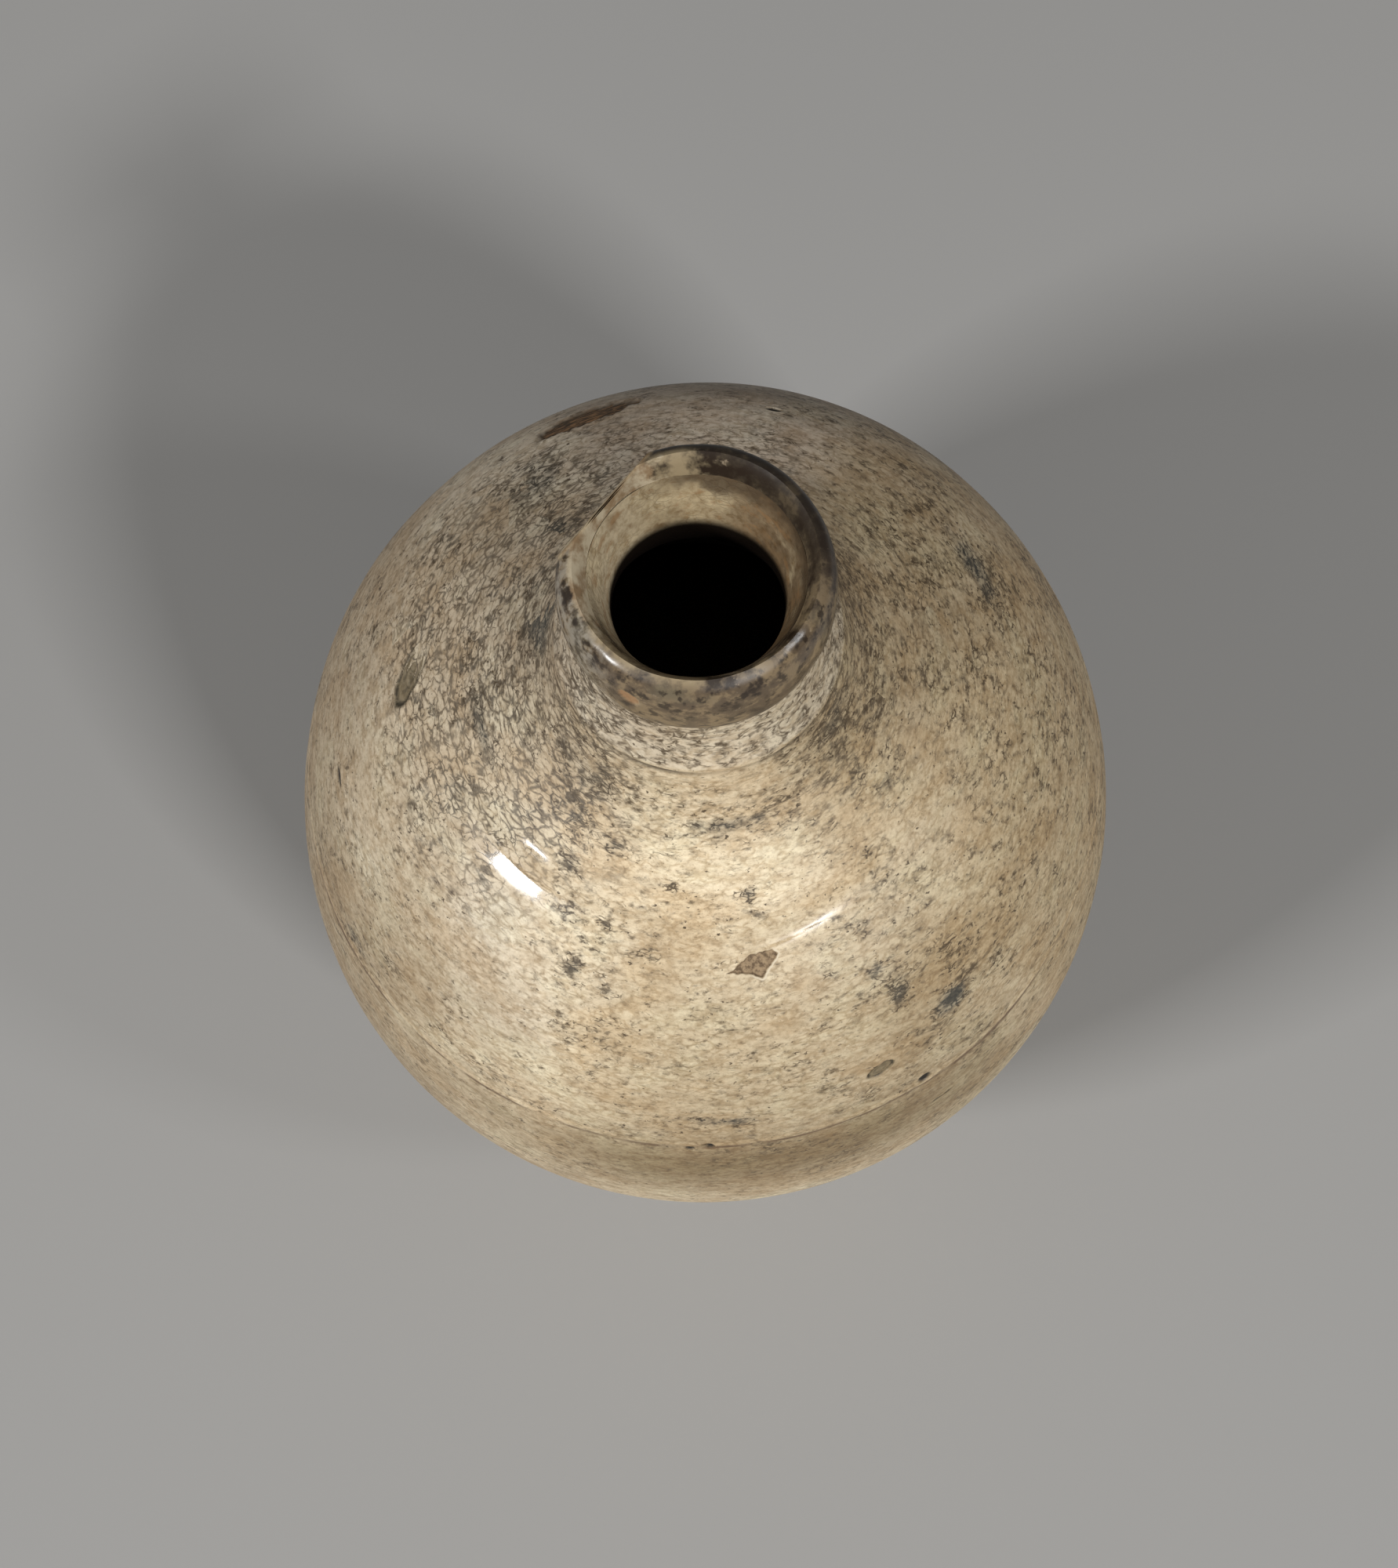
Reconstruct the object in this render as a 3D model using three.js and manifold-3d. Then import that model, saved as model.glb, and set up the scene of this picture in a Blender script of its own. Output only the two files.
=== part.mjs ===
// Stoneware bottle vase: a globular body thrown in two halves, a short tapering neck, a thick rolled lip
// and a foot ring, joined with clay slip, under a cream crackle glaze and an iron-brown lip.
// Millimetres, +Z up. The origin is the centre of the foot's underside and the front is -Y.

import * as THREE from 'three';
import { mergeVertices } from 'three/addons/utils/BufferGeometryUtils.js';
import Module from 'manifold-3d';

// Foot ring
const foot_radius = 41; // outside of the ring, where it meets the bowl
const foot_width = 7; // from its outer to its inner wall
const foot_height = 8; // from the table to the underside of the bowl
const foot_bevel = 1; // turned edge that keeps the ring from chipping

// Bowl and shoulder, measured on the clay
const belly_radius = 77;
const belly_height = 78; // height of the widest circle above the table
const belly_pull = 17; // how far the wall keeps upright above the widest circle
const seam_rise = 28; // joint of the two halves above the widest circle
const shoulder_radius = 48; // where the shoulder turns into the flare of the neck
const shoulder_rise = 63.7; // above the widest circle
const shoulder_slope = THREE.MathUtils.degToRad(23);
const shoulder_pull = 24; // how far the shoulder keeps that slope outwards
const wall = 5;
const floor_thickness = 7;

// Flare, neck and lip, measured on the clay
const flare_rise = 23; // from the shoulder up to the ridge under the neck
const flare_pull = 12.5; // how far the flare keeps the shoulder's slope
const ridge_radius = 22.6;
const ridge_slope = THREE.MathUtils.degToRad(80);
const ridge_pull = 11; // length of the flare's steep end
const collar_slope = THREE.MathUtils.degToRad(60); // of the neck's side just above the ridge
const collar_pull = 4.5; // how far the side keeps that slope
const neck_height = 12.5;
const neck_top_radius = 18.9;
const neck_pull = 5; // how far the side stays upright under the lip
const throat_radius = 14.5; // narrowest part of the bore
const lip_radius = 20.8;
const lip_height = 13.7;
const lip_widest = 7; // height of the lip's widest circle above its seat
const lip_tuck = 1.9; // how far the lip draws in below its widest circle
const crest_radius = 18.9; // circle of the highest points
const crest_width = 0.6; // flat run of the crest before it falls into the mouth
const funnel_pull = 2; // how far the bore stays upright above the lip's seat

// Old chip on the crest of the lip
const chip_depth = 4.1; // taken off the outer edge, at the height of the crest
const chip_tilt = THREE.MathUtils.degToRad(20); // its facet faces this far up from level
const chip_azimuth = THREE.MathUtils.degToRad(140); // round from +X, at the back left
const chip_block = 30; // side of the block that the chip is cut with

// Joints and coats
const slip = 1; // thickness of the slip in a joint
const glaze = 0.6;
const coat_gap = 0.3; // clearance between a coat and the clay, and between the ends of two coats
const foot_bare = 4; // clay left bare above the foot
const lip_bare = 1; // height of the bare edges on either side of the lip's seat
const mouth_line = 2.8; // the brown coat ends this far below the crest, inside the mouth
const throat_coat = 9; // the inner coat ends this far below the lip's seat

// Fineness of the turned surfaces
const segments = 40;
const belly_steps = 7;
const flare_steps = 6;
const neck_steps = 3;
const lip_steps = 4;

// Heights that follow from the sizes above
const floor_level = foot_height + floor_thickness;
const seam_level = belly_height + seam_rise;
const shoulder_level = belly_height + shoulder_rise;
const ridge_level = shoulder_level + flare_rise;
const seat_level = ridge_level + neck_height;
const widest_level = seat_level + lip_widest;
const crest_level = seat_level + lip_height;

const clay = { color: 0xa98d6c, roughness: 0.9 };
const pale_slip = { color: 0xc2a884, roughness: 0.95 };
const cream_glaze = { color: 0xd9c7a3, roughness: 0.28 };
const brown_glaze = { color: 0x5a4632, roughness: 0.25 };

const wasm = await Module();
wasm.setup();

// Profiles are lists of points: x is the radius and y the height.

const at = (radius, height) => new THREE.Vector2(radius, height);

// An arc of an ellipse about a centre, from one angle to another.
function arc(center, radius, height, from, to, steps) {
  return Array.from({ length: steps + 1 }, (_, i) => {
    const angle = from + ((to - from) * i) / steps;
    return at(center.x + radius * Math.cos(angle), center.y + height * Math.sin(angle));
  });
}

function curve(start, handle_a, handle_b, end, steps) {
  return new THREE.CubicBezierCurve(start, handle_a, handle_b, end).getPoints(steps);
}

// Joins profiles end to end and drops the point that two neighbours share.
function chain(...profiles) {
  return profiles.flatMap((points, i) => (i ? points.slice(1) : points));
}

// Moves a profile sideways, to the right of its direction, by the same distance all along.
function offset(profile, distance) {
  const normals = profile.slice(1).map((p, i) => {
    const run = p.clone().sub(profile[i]).normalize();
    return at(run.y, -run.x);
  });
  return profile.map((p, i) => {
    const before = normals[Math.max(i - 1, 0)];
    const after = normals[Math.min(i, normals.length - 1)];
    const mean = before.clone().add(after).normalize();
    return p.clone().addScaledVector(mean, distance / mean.dot(after));
  });
}

// The point of a rising profile at a height.
function pointAt(profile, height) {
  const i = profile.findIndex((p, k) => k > 0 && p.y >= height);
  const [a, b] = [profile[i - 1], profile[i]];
  return at(THREE.MathUtils.mapLinear(height, a.y, b.y, a.x, b.x), height);
}

// The stretch of a rising profile between two heights.
function between(profile, low, high) {
  const inner = profile.filter((p) => p.y > low && p.y < high);
  return [pointAt(profile, low), ...inner, pointAt(profile, high)];
}

// Outside of the pot, from the foot up to the lip's seat
const belly_drop = (belly_height - foot_height) / Math.sqrt(1 - (foot_radius / belly_radius) ** 2);
const foot_angle = -Math.acos(foot_radius / belly_radius);
const bowl = arc(at(0, belly_height), belly_radius, belly_drop, foot_angle, 0, belly_steps);

const shoulder_point = at(shoulder_radius, shoulder_level);
const shoulder_run = at(-Math.cos(shoulder_slope), Math.sin(shoulder_slope));
const dome = curve(
  at(belly_radius, belly_height),
  at(belly_radius, belly_height + belly_pull),
  shoulder_point.clone().addScaledVector(shoulder_run, -shoulder_pull),
  shoulder_point,
  belly_steps,
);

const ridge_point = at(ridge_radius, ridge_level);
const ridge_run = at(-Math.cos(ridge_slope), Math.sin(ridge_slope));
const flare = curve(
  shoulder_point,
  shoulder_point.clone().addScaledVector(shoulder_run, flare_pull),
  ridge_point.clone().addScaledVector(ridge_run, -ridge_pull),
  ridge_point,
  flare_steps,
);

const collar_run = at(-Math.cos(collar_slope), Math.sin(collar_slope));
const neck_side = curve(
  ridge_point,
  ridge_point.clone().addScaledVector(collar_run, collar_pull),
  at(neck_top_radius, seat_level - neck_pull),
  at(neck_top_radius, seat_level),
  neck_steps,
);
const outside = chain(bowl, dome, flare, neck_side);

// Inside of the pot, from the floor up to the lip's seat
const body_inside = between(offset(outside, -wall), floor_level, ridge_level);
const inside = [...body_inside, at(throat_radius, seat_level)];

// Lip: up the outside to the crest, and up the mouth's funnel to the same crest
const tuck_center = at(lip_radius - lip_tuck, widest_level);
const crest_center = at(crest_radius, widest_level);
const crest_rise = crest_level - widest_level;
const right_angle = Math.PI / 2;
const lip_outside = chain(
  arc(tuck_center, lip_tuck, lip_widest, -right_angle, 0, lip_steps),
  arc(crest_center, lip_radius - crest_radius, crest_rise, 0, right_angle, lip_steps),
);
const funnel = curve(
  at(throat_radius, seat_level),
  at(throat_radius, seat_level + funnel_pull),
  at(crest_radius - crest_width, crest_level),
  at(crest_radius, crest_level),
  2 * lip_steps,
);

// Solids

// A solid of revolution about the pot's axis. The outline runs anticlockwise, with the axis on its left.
function turn(outline) {
  const closed = outline[0].x === 0 ? outline : [...outline, outline[0]];
  return new THREE.LatheGeometry(closed, segments).rotateX(right_angle);
}

// The pot's wall between two heights
function wallSection(low, high) {
  return [...between(outside, low, high), ...between(inside, low, high).reverse()];
}

function ring(inner_radius, outer_radius, low, high) {
  return [at(inner_radius, low), at(outer_radius, low), at(outer_radius, high), at(inner_radius, high)];
}

// A coat on the right side of a profile
function coat(profile) {
  return [...offset(profile, coat_gap + glaze), ...offset(profile, coat_gap).reverse()];
}

// A closed solid that booleans can use, and a geometry made from one
function solidOf(geometry) {
  const bare = geometry.clone();
  bare.deleteAttribute('normal');
  bare.deleteAttribute('uv');
  const merged = mergeVertices(bare);
  return new wasm.Manifold(
    new wasm.Mesh({
      numProp: 3,
      vertProperties: merged.attributes.position.array,
      triVerts: new Uint32Array(merged.index.array),
    }),
  );
}

function geometryOf(solid) {
  const { vertProperties, triVerts } = solid.getMesh();
  const geometry = new THREE.BufferGeometry();
  geometry.setAttribute('position', new THREE.BufferAttribute(vertProperties, 3));
  geometry.setIndex(new THREE.BufferAttribute(triVerts, 1));
  geometry.computeVertexNormals();
  return geometry;
}

// Takes the chip off a piece of the lip: a flat facet across its outer top edge.
function chipped(geometry) {
  const facet_radius = lip_radius + coat_gap + glaze - chip_depth;
  const block = new THREE.BoxGeometry(chip_block, chip_block, chip_block)
    .translate(chip_block / 2, 0, 0)
    .rotateY(-chip_tilt)
    .translate(facet_radius, 0, crest_level)
    .rotateZ(chip_azimuth);
  return geometryOf(solidOf(geometry).subtract(solidOf(block)));
}

const vase = new THREE.Group();

function add(name, geometry, finish) {
  const mesh = new THREE.Mesh(geometry, new THREE.MeshStandardMaterial({ ...finish, metalness: 0 }));
  mesh.name = name;
  vase.add(mesh);
}

// Foot ring and its joint under the bowl
const foot_inner = foot_radius - foot_width;
const foot_top = foot_height - slip;
add(
  'foot_ring',
  turn([
    at(foot_inner, 0),
    at(foot_radius - foot_bevel, 0),
    at(foot_radius, foot_bevel),
    at(foot_radius, foot_top),
    at(foot_inner, foot_top),
  ]),
  clay,
);
add('foot_luting_slip', turn(ring(foot_inner, foot_radius, foot_top, foot_height)), pale_slip);

// The two halves of the body and the slip between them
const seam_low = seam_level - slip / 2;
const seam_high = seam_level + slip / 2;
add(
  'lower_body',
  turn([
    at(0, foot_height),
    ...between(outside, foot_height, seam_low),
    ...between(inside, floor_level, seam_low).reverse(),
    at(0, floor_level),
  ]),
  clay,
);
add('belly_luting_slip', turn(wallSection(seam_low, seam_high)), pale_slip);

const ridge_low = ridge_level - slip;
add('upper_body', turn(wallSection(seam_high, ridge_low)), clay);
add('neck_luting_slip', turn(wallSection(ridge_low, ridge_level)), pale_slip);

// Neck and lip
add('neck', turn(wallSection(ridge_level, seat_level)), clay);
const lip_outline = [at(throat_radius, seat_level), ...lip_outside, ...funnel.slice(1, -1).reverse()];
add('lip', chipped(turn(lip_outline)), clay);

// Coats: outside of the pot, outside and crest of the lip, inside of the mouth
const coat_top = seat_level - lip_bare;
add('outer_glaze', turn(coat(between(outside, foot_height + foot_bare, coat_top))), cream_glaze);

const mouth_level = crest_level - mouth_line;
const lip_skin = chain(
  between(lip_outside, seat_level + lip_bare, crest_level),
  between(funnel, mouth_level, crest_level).reverse(),
);
add('lip_glaze', chipped(turn(coat(lip_skin))), brown_glaze);

const mouth_skin = chain(
  between(funnel, seat_level, mouth_level - coat_gap).reverse(),
  between(inside, seat_level - throat_coat, seat_level).reverse(),
);
add('mouth_glaze', turn(coat(mouth_skin)), cream_glaze);

export default vase;
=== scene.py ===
"""A stoneware bottle vase over its turned solids: cream crackle glaze, iron-brown lip and bare foot.

Places on the pot are an angle in degrees round its axis, 0 at the front (-Y) and growing towards +X, and
a height. Lengths are in millimetres, and become metres when a mesh, lamp or texture is made.
"""

import math
from collections import namedtuple

import bmesh
import bpy
import numpy as np
from mathutils import Matrix, Vector, noise


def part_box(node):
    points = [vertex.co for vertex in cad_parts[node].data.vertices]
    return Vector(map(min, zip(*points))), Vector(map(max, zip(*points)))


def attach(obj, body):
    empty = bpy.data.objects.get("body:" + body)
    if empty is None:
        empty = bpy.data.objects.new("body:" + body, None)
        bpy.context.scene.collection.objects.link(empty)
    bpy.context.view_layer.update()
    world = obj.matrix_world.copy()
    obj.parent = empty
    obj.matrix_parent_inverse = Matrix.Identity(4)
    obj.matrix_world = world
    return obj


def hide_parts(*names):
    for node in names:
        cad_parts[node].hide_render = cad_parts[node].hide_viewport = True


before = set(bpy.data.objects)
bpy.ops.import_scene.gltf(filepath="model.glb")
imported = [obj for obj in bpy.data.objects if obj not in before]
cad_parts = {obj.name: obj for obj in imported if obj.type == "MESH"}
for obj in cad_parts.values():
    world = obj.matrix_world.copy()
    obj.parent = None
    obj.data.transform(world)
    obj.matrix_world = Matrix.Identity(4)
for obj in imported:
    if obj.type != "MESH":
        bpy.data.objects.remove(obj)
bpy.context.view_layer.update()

MM = 0.001

# Camera, looking down on the shoulder from the front.
LENS = 52.2
FRAME_SIDE = 36.0
CAMERA_ELEVATION = 72.0
CAMERA_DISTANCE = 448.5
TARGET = Vector((0, 0, 78.0)) * MM
CAMERA_ROLL = 2.23
IMAGE_HEIGHT = 2000
TARGET_RIGHT_PIXELS = 8.2
TARGET_DOWN_PIXELS = 20.0

# Grid of the turned pieces.
COAT_SEGMENTS = 272
CLAY_SEGMENTS = 192
BODY_STEP = 2.2
SHOULDER_STEP = 0.7
NECK_STEP = 0.55
CLAY_STEP = 3.0
HIDDEN_STEP = 4.0
LIP_STEP = 0.5
SHARP_EDGE = 50.0
BODY_CORNER = 35.0
LIP_CORNER = 60.0
SEAM_REACH = 5.0
SHOULDER_FROM = 133.0
NECK_FROM = 150.0

# Levels on the body, read off the solids that meet there.
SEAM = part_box("belly_luting_slip")[1].z / MM
SEAM_LINE = SEAM + 1.0
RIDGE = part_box("neck_luting_slip")[1].z / MM
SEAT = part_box("lip")[0].z / MM
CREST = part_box("lip")[1].z / MM


def smoothstep(value, low, high):
    """0 at low, 1 at high, easing between them."""
    t = np.clip((value - low) / (high - low), 0.0, 1.0)
    return t * t * (3.0 - 2.0 * t)


def bell(value, middle, width, power=2):
    """1 at the middle, falling to nothing within a few widths."""
    return np.exp(-(((value - middle) / width) ** power))


def places_at(angle, radius, height):
    """Places (mm) at angles (radians) round the pot, radii and heights."""
    return np.stack([radius * np.sin(angle), -radius * np.cos(angle), height], axis=1)


# Outlines of the solids


def read_outline(node):
    """The outline of a turned node, as (radius, height) points in mm, and if it is closed."""
    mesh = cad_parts[node].data
    places = {}
    for vertex in mesh.vertices:
        x, y, z = (round(c / MM, 3) for c in vertex.co)
        if abs(x) < 0.002 and y < 0.002:
            places[vertex.index] = (-y, z)
    links = {}
    for edge in mesh.edges:
        ends = [places.get(i) for i in edge.vertices]
        if None in ends or ends[0] == ends[1]:
            continue
        for here, there in (ends, ends[::-1]):
            links.setdefault(here, set()).add(there)
    start = min(links, key=lambda p: (len(links[p]), p[1], p[0]))
    path = [start]
    while True:
        onward = sorted(links[path[-1]] - set(path[-2:]))
        if not onward or onward[0] == start:
            break
        path.append(onward[0])
    points = np.array(path)
    closed = start in links[path[-1]] and len(path) > 2
    after = np.roll(points, -1, axis=0)
    area = np.sum(points[:, 0] * after[:, 1] - after[:, 0] * points[:, 1])
    points = points if area > 0 else points[::-1]
    if closed:
        first = min(range(len(points)), key=lambda i: (points[i][1], -points[i][0]))
        points = np.roll(points, -first, axis=0)
    return points, closed


def smooth_outline(points, closed, steps, corner=BODY_CORNER):
    """Points on a smooth curve through the outline's points, which keeps its sharp corners.

    The steps say how far apart they are: one length for all, or one for the span after each point.
    """
    count = len(points)
    steps = np.broadcast_to(steps, count)
    spans = count if closed else count - 1
    ahead = points[(np.arange(spans) + 1) % count] - points[:spans]
    length = np.linalg.norm(ahead, axis=1)
    course = ahead / length[:, None]
    leaving = np.zeros((spans, 2))
    arriving = np.zeros((spans, 2))
    bent = np.zeros(count, bool)
    for i in range(count):
        before, after = (i - 1) % count, i
        if not closed and i in (0, count - 1):
            bent[i] = True
            continue
        cosine = np.clip(course[before] @ course[after], -1, 1)
        bent[i] = math.degrees(math.acos(cosine)) > corner
        if not bent[i]:
            share = length[before] / (length[before] + length[after])
            tangent = share * course[after] + (1 - share) * course[before]
            arriving[before] = tangent
            leaving[after] = tangent
    made = []
    for i in range(spans):
        start, end = i, (i + 1) % count
        if bent[start]:
            leaving[i] = course[i] if bent[end] else 1.5 * course[i] - 0.5 * arriving[i]
        if bent[end]:
            arriving[i] = course[i] if bent[start] else 1.5 * course[i] - 0.5 * leaving[i]
        parts = max(1, math.ceil(length[i] / steps[start]))
        for t in np.arange(parts) / parts:
            share = smoothstep(t, 0, 1)
            bend = t * (1 - t) ** 2 * leaving[i] - t**2 * (1 - t) * arriving[i]
            made.append((1 - share) * points[start] + share * points[end] + length[i] * bend)
    if not closed:
        made.append(points[-1])
    return np.array(made)


def distance_to(points, outline):
    """How far each point lies from a closed outline, in mm."""
    span = np.roll(outline, -1, axis=0) - outline
    nearest = np.full(len(points), np.inf)
    for a, d in zip(outline, span):
        t = np.clip(((points - a) @ d) / max(d @ d, 1e-9), 0, 1)
        nearest = np.minimum(nearest, np.linalg.norm(points - a - t[:, None] * d, axis=1))
    return nearest


# Turned meshes


class Turned:
    """A turned piece's vertices before they are moved: where each is, and which way is out."""

    def __init__(self, outline, closed, segments, seen, zones=()):
        self.outline = outline
        self.closed = closed
        count = len(outline)
        spans = count if closed else count - 1
        around = np.linspace(0, 2 * math.pi, segments, endpoint=False) + math.pi / 2
        along = np.repeat(np.arange(count), segments)
        vertices = places_at(np.tile(around, count), outline[along, 0], outline[along, 1])
        faces = []
        for row in range(spans):
            low = row * segments
            high = ((row + 1) % count) * segments
            for k in range(segments):
                onward = (k + 1) % segments
                faces.append((low + k, low + onward, high + onward, high + k))
        mesh = bpy.data.meshes.new("turned")
        mesh.from_pydata(vertices.tolist(), [], faces)
        mesh.attributes.new("along", "FLOAT", "POINT").data.foreach_set("value", along.astype(np.float32))
        self.bm = bmesh.new()
        self.bm.from_mesh(mesh)
        bpy.data.meshes.remove(mesh)
        on_axis = [v for v in self.bm.verts if v.co.xy.length < 1e-6]
        bmesh.ops.remove_doubles(self.bm, verts=on_axis, dist=1e-6)
        self.along = self.bm.verts.layers.float["along"]
        self.seen_rows = seen
        steps = np.linalg.norm(np.diff(outline, axis=0), axis=1)
        self.row_reach = np.concatenate([[0.0], np.cumsum(steps)])
        for zone in zones:
            self.refine(zone)
        self.measure()

    def measure(self):
        """Works out each vertex's place on the outline and its outward direction."""
        position = np.array([v.co for v in self.bm.verts])
        row = np.array([v[self.along] for v in self.bm.verts])
        count = len(self.outline)
        knots = np.arange(count)
        before = np.roll(self.outline, 1, axis=0)
        after = np.roll(self.outline, -1, axis=0)
        if not self.closed:
            before[0] = self.outline[0]
            after[-1] = self.outline[-1]
        course = after - before
        course /= np.maximum(np.linalg.norm(course, axis=1), 1e-9)[:, None]
        self.radius = np.interp(row, knots, self.outline[:, 0])
        self.height = np.interp(row, knots, self.outline[:, 1])
        self.out_r = np.interp(row, knots, course[:, 1])
        self.out_z = np.interp(row, knots, -course[:, 0])
        self.reach = np.interp(row, knots, self.row_reach)
        self.seen = np.interp(row, knots, self.seen_rows)
        self.angle = np.arctan2(position[:, 0], -position[:, 1])
        self.degrees = np.degrees(self.angle)

    def reach_at(self, height):
        """How far along the outline its seen side passes a height."""
        rows = np.where(self.seen_rows > 0.5)[0]
        nearest = rows[np.argmin(abs(self.outline[rows, 1] - height))]
        slope = 0.0
        if 0 < nearest < len(self.outline) - 1:
            rise = self.outline[nearest + 1, 1] - self.outline[nearest - 1, 1]
            run = self.row_reach[nearest + 1] - self.row_reach[nearest - 1]
            slope = run / rise if abs(rise) > 1e-6 else 0.0
        return self.row_reach[nearest] + (height - self.outline[nearest, 1]) * slope

    def local(self, around, height, turn=0.0):
        """Coordinates in mm about a place: round the pot, and up towards the mouth."""
        away = (self.angle - math.radians(around) + math.pi) % (2 * math.pi) - math.pi
        u = away * self.radius
        v = self.reach - self.reach_at(height)
        c, s = math.cos(math.radians(turn)), math.sin(math.radians(turn))
        return c * u + s * v, c * v - s * u

    def refine(self, zone):
        """Cuts the faces of a zone finer: (angle, height, half width, half height, cuts)."""
        around, height, wide, tall, cuts = zone
        self.measure()
        self.bm.verts.ensure_lookup_table()
        u, v = self.local(around, height)
        inside = (abs(u) < wide) & (abs(v) < tall) & (self.seen > 0.5)
        chosen = [self.bm.verts[i] for i in np.where(inside)[0]]
        kept = set(chosen)
        edges = {e for vertex in chosen for e in vertex.link_edges if e.other_vert(vertex) in kept}
        ordered = sorted(edges, key=lambda e: e.index)
        bmesh.ops.subdivide_edges(self.bm, edges=ordered, cuts=cuts, use_grid_fill=True)
        self.bm.verts.index_update()
        self.bm.edges.index_update()

    def moved(self, lift):
        """Places (mm) on the hand-made wall, with the seen side moved out by lift (mm)."""
        out = wobble(self.angle, self.height) + (self.seen > 0.5) * lift
        return places_at(self.angle, self.radius + self.out_r * out, self.height + self.out_z * out)

    def make(self, name, lift=0.0, fields=None):
        """The finished piece with its seen side moved out by lift (mm)."""
        return self.make_at(name, self.moved(lift), fields)

    def make_at(self, name, position, fields=None):
        """The finished piece with its vertices at places (mm), and fields on its seen side."""
        mesh = bpy.data.meshes.new(name)
        self.bm.verts.layers.float.remove(self.along)
        self.bm.to_mesh(mesh)
        self.bm.free()
        mesh.vertices.foreach_set("co", (position * MM).astype(np.float32).ravel())
        shown = {field: values * (self.seen > 0.5) for field, values in (fields or {}).items()}
        for field, values in {"meridian": self.reach * MM, **shown}.items():
            attribute = mesh.attributes.new(field, "FLOAT", "POINT")
            attribute.data.foreach_set("value", np.asarray(values, np.float32))
        mesh.polygons.foreach_set("use_smooth", [True] * len(mesh.polygons))
        mesh.set_sharp_from_angle(angle=math.radians(SHARP_EDGE))
        mesh.update()
        piece = bpy.data.objects.new(name, mesh)
        bpy.context.scene.collection.objects.link(piece)
        return piece


def finish_piece(piece, slot, material, *nodes):
    """Gives a piece its finish, lets it ride on the pot and stand for its solids."""
    piece.data.materials.append(material)
    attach(piece, "root")
    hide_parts(*nodes)


# Hand-made shape

# The ledge that a finger left round the shoulder: its height, rise, half width and dip at the front.
LEDGE_LEVEL = 144.4
LEDGE_RISE = 0.43
LEDGE_WIDTH = 2.3
LEDGE_DIP = 2.6
LEDGE_DIP_AROUND = 5.0
LEDGE_DIP_SPREAD = 18.0


def wobble(angle, height):
    """How far the thrown wall strays from a true round, in mm."""
    grown = smoothstep(height, 0.0, 60.0)
    slow = 0.3 * np.cos(2 * angle + 0.6) + 0.16 * np.cos(3 * angle + 2.1 + height * 0.012)
    neck = smoothstep(height, RIDGE - 10, RIDGE + 5)
    return grown * slow * (1 - 0.6 * neck)


def ledge_up(coat):
    """How far up the wall a place is from the ledge, which dips at the front, in mm."""
    dip = LEDGE_DIP * bell(coat.degrees, LEDGE_DIP_AROUND, LEDGE_DIP_SPREAD)
    return coat.reach - coat.reach_at(LEDGE_LEVEL) + dip


def shoulder_ledge(coat, up):
    """The rise of the ledge, in mm, strongest at the front, and of a lesser one above it."""
    strength = 0.55 + 0.45 * np.cos(coat.angle)
    lesser = 0.17 * bell(coat.degrees, -43, 14) * bell(up, 4.4, 1.1)
    return LEDGE_RISE * strength * bell(up, 0, LEDGE_WIDTH) + lesser


def throwing_rings(angle, reach, height):
    """Shallow rings left by throwing, in mm: broad on the body, fine at the neck."""
    drift = 0.9 * np.sin(angle + 0.5) + 0.5 * np.sin(2 * angle + 1.7)
    broad = 0.03 * np.sin(reach / 1.35 + drift) + 0.012 * np.sin(reach / 0.83 + 1.6 * drift + 2.0)
    fine = 0.03 * np.sin(reach / 0.27 + 2.2 * drift) + 0.03 * np.sin(reach / 0.41 + 1.0)
    at_neck = smoothstep(height, 151, 158)
    on_body = smoothstep(height, 40, 90)
    return on_body * broad * (1 - at_neck) + fine * at_neck


# Flaws of the glaze, each at an angle and a height, with its half sizes round the pot and up the wall,
# how far it is turned in degrees, and its depth.

Flaw = namedtuple("Flaw", "around height wide tall turn depth", defaults=(0.0,))

PITS = [
    Flaw(-142.1, 142.5, 1.1, 0.6, -20, 0.4),
    Flaw(155.4, 133.8, 2.2, 1.3, 0, 0.3),
    Flaw(164.4, 138.5, 1.5, 0.7, 0, 0.25),
    Flaw(30.1, 109.5, 1.5, 1.4, 0, 0.45),
    Flaw(-4.0, 107.1, 1.0, 0.9, 0, 0.35),
    Flaw(-1.2, 108.0, 0.8, 1.1, 20, 0.35),
    Flaw(32.3, 97.6, 3.2, 0.45, 4, 0.2),
    Flaw(-73.5, 110.9, 3.2, 0.6, 0, 0.25),
    Flaw(-81.9, 127.5, 2.6, 0.6, 0, 0.2),
    Flaw(87.0, 136.8, 1.6, 0.6, 0, 0.2),
    Flaw(82.4, 135.8, 1.9, 0.7, 0, 0.2),
    Flaw(93.5, 116.0, 2.6, 0.6, 0, 0.2),
]
RINGED_SCARS = [
    Flaw(-95.2, 141.7, 6.8, 2.1, -22),
    Flaw(24.0, 119.4, 2.6, 1.3, 12),
]
KILN_SCAR = Flaw(-161.0, 136.3, 10.5, 3.2, 0, 0.42)
CHIP = Flaw(7.9, 141.6, 5.5, 3.5, 0, 0.5)
CHIP_CORNERS = [(-4.6, -0.7), (-2.6, 0.5), (-0.4, 2.1), (3.3, 2.2), (4.2, 1.3), (1.1, -2.3), (-1.0, -1.3)]

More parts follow.
